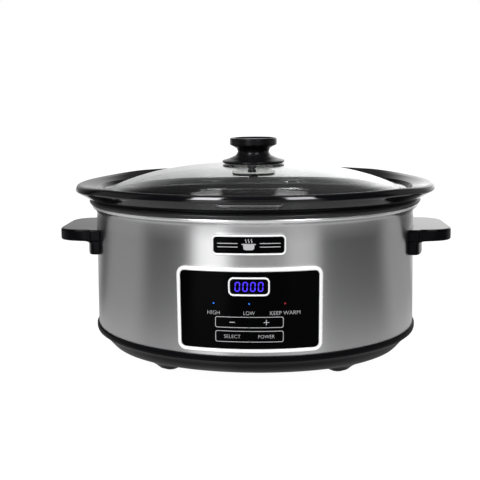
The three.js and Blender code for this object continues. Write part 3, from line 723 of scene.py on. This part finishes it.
def pane(name, node, holes, corner, thick, bevel, front, grow=0.0):
    """A black pane as large as its CAD node or a little larger, with its face a distance off the wall."""
    lo, hi = span(node)
    edge = rect_path(lo.x - grow, hi.x + grow, lo.z - grow, hi.z + grow, corner)
    mesh = pressed(name, flat_outlines([edge, *holes], thick, bevel), front - thick / 2)
    weighted(finished(mesh, PANEL, "housing", node))


def panel_bezel():
    section = [(0.3, 0.3, 0), (0.3, 2.6, 0.5), (1.1, 3.8, 0.8), (3.1, 3.8, 0.8), (3.8, 2.9, 0.4),
               (3.8, 0.3, 0)]
    trim("bezel_trim", "panel_bezel", 8, section, 4)


def display():
    section = [(0.1, 0.3, 0), (0.1, 2.7, 0.4), (0.5, 3.3, 0.5), (1.3, 3.3, 0.5), (1.7, 2.6, 0.3),
               (1.7, 0.3, 0)]
    trim("display_trim", "display_ring", 5, section)
    pane("display_pane", "display_window", [], 2.8, 1.7, 0.15, 2.3, grow=0.5)  # it runs on under the trim
    z = middle("display_window").z
    digits = [digit_segment(x, z, name) for x in DIGIT_PLACES for name in "abcdef"]
    mesh = pressed("display_digits", flat_outlines(digits, 0.1), 2.32)
    finished(mesh, BLUE_LIGHT, "housing")


DIGIT_PLACES = (-10.6, -3.55, 3.55, 10.6)
DIGIT = (1.95, 4.0, 0.52, 0.2, 0.05)  # half width, half height, half a bar's thickness, gap and lean


def digit_segment(x, z, name):
    """One pointed bar of a seven-bar figure: a at the top, then clockwise to f at the upper left."""
    half, tall, thick, gap, lean = DIGIT
    level = name in "ad"
    end = (half if level else tall / 2) - gap
    bar = [(-end, 0), (thick - end, thick), (end - thick, thick), (end, 0), (end - thick, -thick),
           (thick - end, -thick)]
    if level:
        bar = [(u, v + (tall if name == "a" else -tall)) for u, v in bar]
    else:
        bar = [(v + (half if name in "bc" else -half), u + (tall if name in "bf" else -tall) / 2)
               for u, v in bar]
    return [(x + px + lean * py, z + py) for px, py in bar]


def lens():
    """The panel's glossy face, open around the display, the key bars and the lamps."""
    gap = 0.25
    lo, hi = span("display_ring")
    holes = [rect_path(lo.x - gap, hi.x + gap, lo.z - gap, hi.z + gap, 5)]
    for left, right in (("minus", "plus"), ("select", "power")):
        lo, hi = span(left + "_button")[0], span(right + "_button")[1]
        holes.append(rect_path(lo.x - gap, hi.x + gap, lo.z - gap, hi.z + gap, 2))
    for name in LAMPS:
        centre = middle(name)
        holes.append(circle_path(centre.x, centre.z, 1.0))
    pane("lens_face", "panel_lens", holes, 4.4, 2.2, 0.15, LENS_FRONT, grow=0.8)


LAMPS = {"lamp_high": BLUE_LAMP, "lamp_low": BLUE_LAMP, "lamp_keep_warm": RED_LIGHT}


def lamps():
    for name, look in LAMPS.items():
        lo, hi = span(name)
        centre, front, back = middle(name), -lo.y, -hi.y
        section = [(0, front, 0), (0.5, front - 0.12, 0.3), (0.75, front - 0.6, 0.3),
                   (0.75, back + 3.4, 0.2), (1.9, back + 3.4, 0.2), (1.9, back, 0.2), (0, back, 0)]
        place = Matrix.Translation((centre.x, 0, centre.z)) @ Matrix.Rotation(math.pi / 2, 4, "X")
        mesh = lathed(name + "_body", section, 32, place=place)
        finished(mesh, look, "housing", name)


KEY_WORDS = {"minus": None, "plus": None, "select": ("SELECT", 15.2), "power": ("POWER", 15.0)}
KEY_MIDDLE = 15.7  # from the panel's middle to a key's
STEM_HALF = 2.5
SIGN_HALF, SIGN_LINE = 2.6, 0.3  # half the length and half the width of the plus and the minus


def keys():
    """Four flush keys: each carries its half of the printed outline and its own sign or word."""
    for key, word in KEY_WORDS.items():
        node, body = key + "_button", key + "_key"
        lo, hi = span(node)
        side = 1 if hi.x > 10 else -1
        outer = rect_path(lo.x, hi.x, lo.z, hi.z, 1.7)
        cap = pressed("cap", flat_outlines([outer], 2.0, 0.12), LENS_FRONT - 1.0)
        x, z = side * KEY_MIDDLE, (lo.z + hi.z) / 2
        stem = block_mesh("stem", (x - STEM_HALF, on_front(x, z, 0)[1] - 1.2, z - STEM_HALF),
                          (x + STEM_HALF, hi.y, z + STEM_HALF))
        piece = finished(join_meshes(key + "_cap", [cap, stem]), PANEL, body, node)
        weighted(piece)
        shapes = [flat_outlines([half_outline(lo, hi, side)], PRINT_THICK)]
        if word is None:
            sign = (plus_path if key == "plus" else bar_path)(x, z, SIGN_HALF, SIGN_LINE)
            shapes.append(flat_outlines([sign], PRINT_THICK))
        else:
            text = flat_text(word[0], word[1], 3.2, PRINT_THICK)
            text.transform(Matrix.Translation((x, z, 0)))
            shapes.append(text)
        finished(pressed(key + "_print", join_meshes("marks", shapes), LENS_FRONT), PRINT, body)


def half_outline(lo, hi, side):
    """The printed line around one half of a key bar, as one closed path open towards the middle."""
    line, margin, radius, steps = 0.55, 0.3, 2.0, 6
    inner = min(abs(lo.x), abs(hi.x))
    reach = max(abs(lo.x), abs(hi.x)) - margin
    low, high = lo.z + margin, hi.z - margin

    def arm(inset):
        r = radius - inset
        path = [(inner, low + inset)]
        for cz, start in ((low + radius, -90), (high - radius, 0)):
            turns = [math.radians(start + 90 * k / steps) for k in range(steps + 1)]
            path += [(reach - radius + r * math.cos(t), cz + r * math.sin(t)) for t in turns]
        return path + [(inner, high - inset)]

    return [(side * x, z) for x, z in arm(0) + arm(line)[::-1]]


def bar_path(x, z, half, thick):
    return [(x - half, z - thick), (x + half, z - thick), (x + half, z + thick), (x - half, z + thick)]


def plus_path(x, z, half, thick):
    quarter = [(half, -thick), (half, thick), (thick, thick)]
    turned = []
    for _ in range(4):
        turned += [(x + px, z + pz) for px, pz in quarter]
        quarter = [(-pz, px) for px, pz in quarter]
    return turned


WORDS = (("HIGH", "lamp_high", 11.4), ("LOW", "lamp_low", 10.4), ("KEEP WARM", "lamp_keep_warm", 27.6))
WORD_DROP, WORD_HEIGHT = 8.5, 3.5  # from a lamp down to the middle of its word, and the capitals' height


def labels():
    """The three setting words under their lamps."""
    shapes = []
    for word, lamp, width in WORDS:
        centre = middle(lamp)
        text = flat_text(word, width, WORD_HEIGHT, PRINT_THICK)
        text.transform(Matrix.Translation((centre.x, centre.z - WORD_DROP, 0)))
        shapes.append(text)
    finished(pressed("setting_words", join_meshes("words", shapes), LENS_FRONT), PRINT, "housing")


def badge():
    """A small plate over the panel with a plain pot-and-steam sign between two pairs of lines."""
    section = [(0, 0.3, 0), (0, 2.1, 0.5), (0.5, 2.7, 0.4), (1.1, 2.7, 0.4), (1.6, 1.8, 0.3), (1.6, 0.3, 0)]
    trim("badge_trim", "badge_frame", 4.5, section)
    pane("badge_face", "badge_plate", [], 2.6, 1.4, 0.12, 1.7)
    z = middle("badge_plate").z
    pot = [(-6.5, z + 0.4), (-5.2, z + 0.4), (-4.8, z - 3.2), (-3.4, z - 4.4), (3.4, z - 4.4), (4.8, z - 3.2),
           (5.2, z + 0.4), (6.5, z + 0.4), (6.5, z + 1.3), (-6.5, z + 1.3)]
    rules = [bar_path(side * 19.3, z + lift, 9.3, 0.33) for side in (-1, 1) for lift in (-1.6, 1.6)]
    wisps = [wisp(x, z + 2.2) for x in (-2.6, 0, 2.6)]
    signs = flat_outlines([pot, *rules, *wisps], 0.3)
    finished(pressed("badge_sign", signs, 1.8), PRINT, "housing")


def wisp(x, z, height=3.4, sway=0.45, half=0.36, steps=10):
    """One wavy stroke of steam."""
    left, right = [], []
    for k in range(steps + 1):
        t = k / steps
        centre = x + sway * math.sin(2 * math.pi * t)
        left.append((centre - half, z + height * t))
        right.append((centre + half, z + height * t))
    return left + right[::-1]


# ---------- crock ----------

RIM_DROOP, RIM_DROOP_START = 3.0, 132.0


def crock():
    """Black glazed stoneware: a deep bowl whose rim holds the lid in a recess and makes two lifting lugs."""
    lo, hi = span("crock")
    rim_a, rim_b, base = hi.x, hi.y, lo.z
    section = [
        (0, 0, base + 1, 0), (100, 58, base + 1, 2), (104, 62, base, 2), (125, 82, base, 6),
        (138, 95, base + 5, 8), (145.6, 102.6, base + 19, 14), (151.4, 107.9, 180.7, 0.7),
        (174, 129.5, 180.7, 2.2), (rim_a - 1.3, rim_b - 1.25, 190.8, 1.0, 0.95),
        (rim_a, rim_b, 192.3, 1.0, 1), (rim_a - 0.5, rim_b - 0.5, 194.4, 1.6, 1),
        (rim_a - 1.7, rim_b - 1.7, 196.8, 2, 1), (rim_a - 4.4, rim_b - 4.4, 197.8, 1.6, 1),
        (177, 133, 195.2, 7, 0.35), (165, 121, 190.6, 2.4, -0.25),
        (161.6, 117.6, 185.2, 1.2), (149, 105, 185.2, 3), (144, 100.4, 178, 4), (138.2, 95.2, 84, 14),
        (131, 88, 71, 9), (118, 75, 69.2, 10), (0, 0, 69.2, 0),
    ]

    def drooped(x, y, z, ring):
        t = max(0.0, min(1.0, (abs(x) - RIM_DROOP_START) / (rim_a - RIM_DROOP_START)))
        return x, y, z - ring[3] * RIM_DROOP * t * t * (3 - 2 * t)

    mesh = spun("crock_bowl", softened(section, 6), 288, drooped)
    finished(mesh, GLAZE, "crock", "crock", 50)


# ---------- lid ----------

LID_A, LID_B, LID_EDGE, LID_RISE, LID_POWER, LID_THICK = 160.0, 116.0, 186.5, 27.1, 2.71, 3.6
LID_HOLE = 4.0
KNOB_BASE = 214.2
VENT_TILT, VENT_HOLE = 0.09, 3.2


def dome(share, drop=0.0):
    return (LID_A * share, LID_B * share, LID_EDGE + LID_RISE * (1 - share**LID_POWER) - drop)


def lid_glass():
    """Tempered glass: a shallow dome with a thickened, rounded edge and two holes."""
    under = [dome(s, LID_THICK) for s in np.linspace(0.06, 0.9, 26)]
    top = [dome(s) for s in np.linspace(0.93, 0.06, 30)]
    brim = [(150, 107.4, 186.9, 2), (158, 114, 185.6, 1.2), (LID_A, LID_B, 186.6, 1.4),
            (159.6, 115.6, 188.8, 1.4), (153.5, 110.8, 190.1, 2.5)]
    centre = LID_EDGE + LID_RISE
    section = [(LID_HOLE, LID_HOLE, centre - LID_THICK, 0.3)] + [(*p, 0) for p in under] + brim
    section += [(*p, 0) for p in top] + [(LID_HOLE, LID_HOLE, centre, 0.5)]
    piece = add_object("glass_dome", spun("glass_dome", softened(section, 5, closed=True), 256))
    carve(piece, [drill(VENT_HOLE, -20, 20, 32, vent_place())])
    finished(piece, GLASS, "lid", "lid_glass", 50)


def vent_place():
    """The steam vent's own frame, square to the glass."""
    y = middle("vent_grommet").y
    z = dome(abs(y) / LID_B)[2]
    return Matrix.Translation((0, y, z)) @ Matrix.Rotation(VENT_TILT, 4, "X")


def lid_fittings():
    """The knob, the seal and the washer under the glass, the screw that holds them, and the vent's ring."""
    top = span("lid_knob")[1].z
    knob = [(0, 230, 0), (2.3, 230, 0.2), (2.3, KNOB_BASE, 0.3), (31.6, KNOB_BASE, 0.5), (32.7, 215, 0.7),
            (32.7, 216.6, 0.9), (26, 218.5, 3), (18.4, 221.9, 5), (16.2, 225.6, 3), (17.4, 229.4, 3),
            (24.6, 233.2, 1.2), (24.6, 239, 0.9), (23.6, top, 0.5), (21.6, top, 0.6), (20.4, top - 1.3, 0.7),
            (0, top - 2, 0)]
    finished(lathed("knob_body", knob, 120, 6), KNOB, "lid", "lid_knob", 40)
    low, high = span("lid_seal")
    r, hole = high.x, LID_HOLE
    seal = [(hole, low.z, 0.3), (r, low.z, 0.7), (r, high.z, 0.6), (hole, high.z, 0.3)]
    finished(lathed("seal_ring", seal, closed=True), SEAL_PAINTED_GLOW, "lid", "lid_seal")
    low, high = span("lid_washer")
    washer = [(2.4, low.z, 0), (21.2, low.z, 0.5), (22, low.z + 0.8, 0.4), (22, high.z, 0.4),
              (2.4, high.z, 0)]
    finished(lathed("washer_disc", washer, closed=True), BASE, "lid", "lid_washer")
    low, high = span("knob_screw")
    screw = [(0, low.z + 0.9, 0), (1.4, low.z + 0.9, 0.2), (1.6, low.z, 0.2), (4.2, low.z, 0.9),
             (4.8, low.z + 2.5, 0.2), (2, low.z + 2.5, 0.2), (2, high.z, 0.5), (0, high.z, 0)]
    finished(lathed("screw_body", screw, 48), ZINC, "lid", "knob_screw")
    under = -LID_THICK - 2.4
    vent = [(1.2, under, 0.3), (4.2, under, 0.6), (4.2, under + 1.8, 0.3), (2.8, under + 1.8, 0.2),
            (2.8, 0.5, 0.2), (4.6, 0.5, 0.3), (4.4, 1.9, 0.5), (3.6, 2.6, 0.5), (1.2, 2.6, 0.4)]
    mesh = lathed("vent_ring", vent, 48, closed=True, place=vent_place())
    finished(mesh, RUBBER, "lid", "vent_grommet")


# ---------- CAD nodes that stay ----------

KEPT = {
    ZINC: [*("base_screw_" + name for name in FOOT_NAMES),
           *(f"handle_screw_{side}_{end}" for side in ("left", "right") for end in ("front", "rear")),
           "temperature_sensor", "sensor_spring", "sensor_bracket", "thermal_fuse", "transformer"],
    MOULDED: ["relay", "capacitor", "display_module", *(key + "_switch" for key in KEY_WORDS)],
    SATIN: ["control_housing"],
    SOLDER_MASK: ["display_board", "power_board"],
    MICA: ["heater_band"],
    FELT: ["insulation_blanket"],
    SILICONE: ["terminal_block", "ribbon_cable"],
    WIRE: ["heater_lead_left", "heater_lead_right"],
}


def finish_kept_nodes():
    for look, names in KEPT.items():
        for name in names:
            node = NODES[name]
            for slot in node.material_slots:
                slot.material = look
            if not node.material_slots:
                node.data.materials.append(look)


# ---------- studio ----------

# Azimuths are degrees from the front, positive to the right. Heights in the studio are the upward part of a
# direction one unit long, from 0 at the horizon to 1 overhead.
# Upright soft boxes around the object: azimuth, half width, fade and brightness.
SOFT_BOXES = ((-23, 5, 9, 1.45), (27, 5, 8, 0.52), (0, 12, 12, 0.28), (-86, 14, 14, 0.27),
              (102, 10, 16, 0.32))
BOX_TOP = (0.42, 0.72, 1.0, 0.1)  # the heights between which they fade, and their shares below and above
# The backdrop: azimuths and levels from the dark front to the bright back, and how it varies across and up.
FRONT_AZIMUTH, BACK_AZIMUTH = 108, 165
FRONT_LEVEL, BACK_LEVEL = 0.008, 1.15
DROP_ACROSS, DROP_UP = (-0.4, 0.3, 0.45, 1.4), (0.3, 0.6, 1.0, 0.12)
# Two strobes high in front: azimuth and brightness, then half width and fade, and the heights they fill.
STROBES = ((-29, 19.0), (29, 13.0))
STROBE_HALF, STROBE_FADE = 7, 3
STROBE_LOW, STROBE_HIGH, STROBE_EDGE = 0.5, 0.86, 0.04
# Two lights over the back, by where they hang in a level plane one unit up, and half their size.
TOP_BOXES = ((-0.25, 0.58), (0.135, 0.56))
TOP_BOX_HALF, TOP_BOX_FADE, TOP_BOX_LEVEL = (0.054, 0.1), (0.03, 0.04), 1.5
KEY_WATTS, KEY_SIZE, KEY_AT, KEY_AIM = 20.0, (1.6, 0.5), (0, -1.3, 1.5), (0, 0, 0.1)
# The floor as other surfaces see it: its own light near the object, then the share of the studio it reflects.
FLOOR_HALF = 5.0
FLOOR_NEAR = (0.19, 0.5, 0.47, 0.0)
FLOOR_SHARE = (0.18, 0.6, 0.12, 0.9)
FLOOR_SHOWN = 0.985  # and as the camera sees it


def azimuth_of(graph, x, y):
    return graph.calc("DEGREES", graph.calc("ARCTAN2", x, graph.calc("MULTIPLY", y, -1)))


def distance(graph, value, centre):
    return graph.calc("ABSOLUTE", graph.calc("SUBTRACT", value, centre))


def studio_level(graph, x, y, backdrop=1.0, boxes=1.0):
    """How bright the studio is in a level direction: the backdrop and the soft boxes."""
    azimuth = azimuth_of(graph, x, y)
    behind = graph.ramp(graph.calc("ABSOLUTE", azimuth), FRONT_AZIMUTH, BACK_AZIMUTH, FRONT_LEVEL, BACK_LEVEL)
    total = graph.calc("MULTIPLY", behind, backdrop)
    for centre, half, fade, gain in SOFT_BOXES:
        glow = graph.ramp(distance(graph, azimuth, centre), half, half + fade, gain, 0.0)
        total = graph.calc("ADD", total, graph.calc("MULTIPLY", glow, boxes))
    return total


def unless_seen(graph, level, shown):
    """A level for the surfaces' light, and another for what the camera sees directly."""
    camera = graph.node("ShaderNodeLightPath").outputs["Is Camera Ray"]
    hidden = graph.calc("MULTIPLY", level, graph.calc("SUBTRACT", 1.0, camera))
    return graph.calc("ADD", hidden, graph.calc("MULTIPLY", camera, shown))


def studio():
    """The world's light, one key light that shows in no reflection, and the picture's plain transfer."""
    scene = bpy.context.scene
    scene.view_settings.view_transform = "Standard"
    world = bpy.data.worlds.new("studio")
    scene.world = world
    world.use_nodes = True
    tree = world.node_tree
    tree.nodes.clear()
    graph = Graph(tree)
    coord = graph.node("ShaderNodeTexCoord").outputs["Generated"]
    direction = graph.node("ShaderNodeSeparateXYZ", {"Vector": coord})
    x, y, z = (direction.outputs[k] for k in "XYZ")
    backdrop = graph.calc("MULTIPLY", graph.ramp(x, *DROP_ACROSS), graph.ramp(z, *DROP_UP))
    level = studio_level(graph, x, y, backdrop, graph.ramp(z, *BOX_TOP))
    azimuth = azimuth_of(graph, x, y)
    tall = graph.calc("MULTIPLY", graph.ramp(z, STROBE_LOW, STROBE_LOW + STROBE_EDGE),
                      graph.ramp(z, STROBE_HIGH - STROBE_EDGE, STROBE_HIGH, 1.0, 0.0))
    for centre, gain in STROBES:
        away = distance(graph, azimuth, centre)
        flash = graph.ramp(away, STROBE_HALF, STROBE_HALF + STROBE_FADE, gain, 0.0)
        level = graph.calc("ADD", level, graph.calc("MULTIPLY", flash, tall))
    above = graph.ramp(z, 0.05, 0.1)
    plane = [graph.calc("DIVIDE", axis, z) for axis in (x, y)]
    for place in TOP_BOXES:
        across, along = (graph.ramp(distance(graph, *pair), half, half + fade, 1.0, 0.0)
                         for *pair, half, fade in zip(plane, place, TOP_BOX_HALF, TOP_BOX_FADE))
        inside = graph.calc("MULTIPLY", graph.calc("MULTIPLY", across, along), above)
        level = graph.calc("ADD", level, graph.calc("MULTIPLY", inside, TOP_BOX_LEVEL))
    strength = unless_seen(graph, level, 1.0)
    background = graph.node("ShaderNodeBackground", {"Strength": strength, "Color": (1, 1, 1, 1)})
    tree.links.new(background.outputs[0], graph.node("ShaderNodeOutputWorld").inputs[0])
    light = bpy.data.lights.new("key_light", "AREA")
    light.energy, light.shape, (light.size, light.size_y) = KEY_WATTS, "RECTANGLE", KEY_SIZE
    lamp = add_object("key_light", light)
    lamp.location = KEY_AT
    lamp.rotation_euler = (Vector(KEY_AIM) - lamp.location).to_track_quat("-Z", "Y").to_euler()
    lamp.visible_camera = lamp.visible_glossy = False


def floor():
    """Pale paper: plain to the camera, and a reflection of the studio to the object's surfaces."""
    corners = [(x * FLOOR_HALF, y * FLOOR_HALF, 0) for x, y in ((-1, -1), (1, -1), (1, 1), (-1, 1))]
    mesh = bpy.data.meshes.new("floor")
    mesh.from_pydata(corners, [], [(0, 1, 2, 3)])
    made = bpy.data.materials.new("floor_paper")
    made.use_nodes = True
    tree = made.node_tree
    tree.nodes.clear()
    graph = Graph(tree)
    place = graph.node("ShaderNodeTexCoord").outputs["Object"]
    away = graph.node("ShaderNodeVectorMath", {0: place}, operation="LENGTH").outputs["Value"]
    axes = graph.node("ShaderNodeSeparateXYZ", {"Vector": place})
    around = studio_level(graph, axes.outputs["X"], axes.outputs["Y"])
    reflected = graph.calc("ADD", graph.ramp(away, *FLOOR_NEAR),
                           graph.calc("MULTIPLY", around, graph.ramp(away, *FLOOR_SHARE)))
    strength = unless_seen(graph, reflected, FLOOR_SHOWN)
    glow = graph.node("ShaderNodeEmission", {"Strength": strength, "Color": (1, 1, 1, 1)})
    paper = graph.node("ShaderNodeBsdfDiffuse", {"Color": (0.12, 0.12, 0.12, 1)})
    total = graph.node("ShaderNodeAddShader", {0: glow.outputs[0], 1: paper.outputs[0]})
    tree.links.new(total.outputs[0], graph.node("ShaderNodeOutputMaterial").inputs["Surface"])
    mesh.materials.append(made)
    add_object("floor", mesh)


# ---------- assembly ----------

steel_wrap()
well_liner()
pan_shell()
feet()
handle(-1, "left")
handle(1, "right")
for make in (cord_gland, panel_bezel, display, lens, lamps, keys, labels, badge, crock, lid_glass,
             lid_fittings, finish_kept_nodes, studio, floor):
    make()
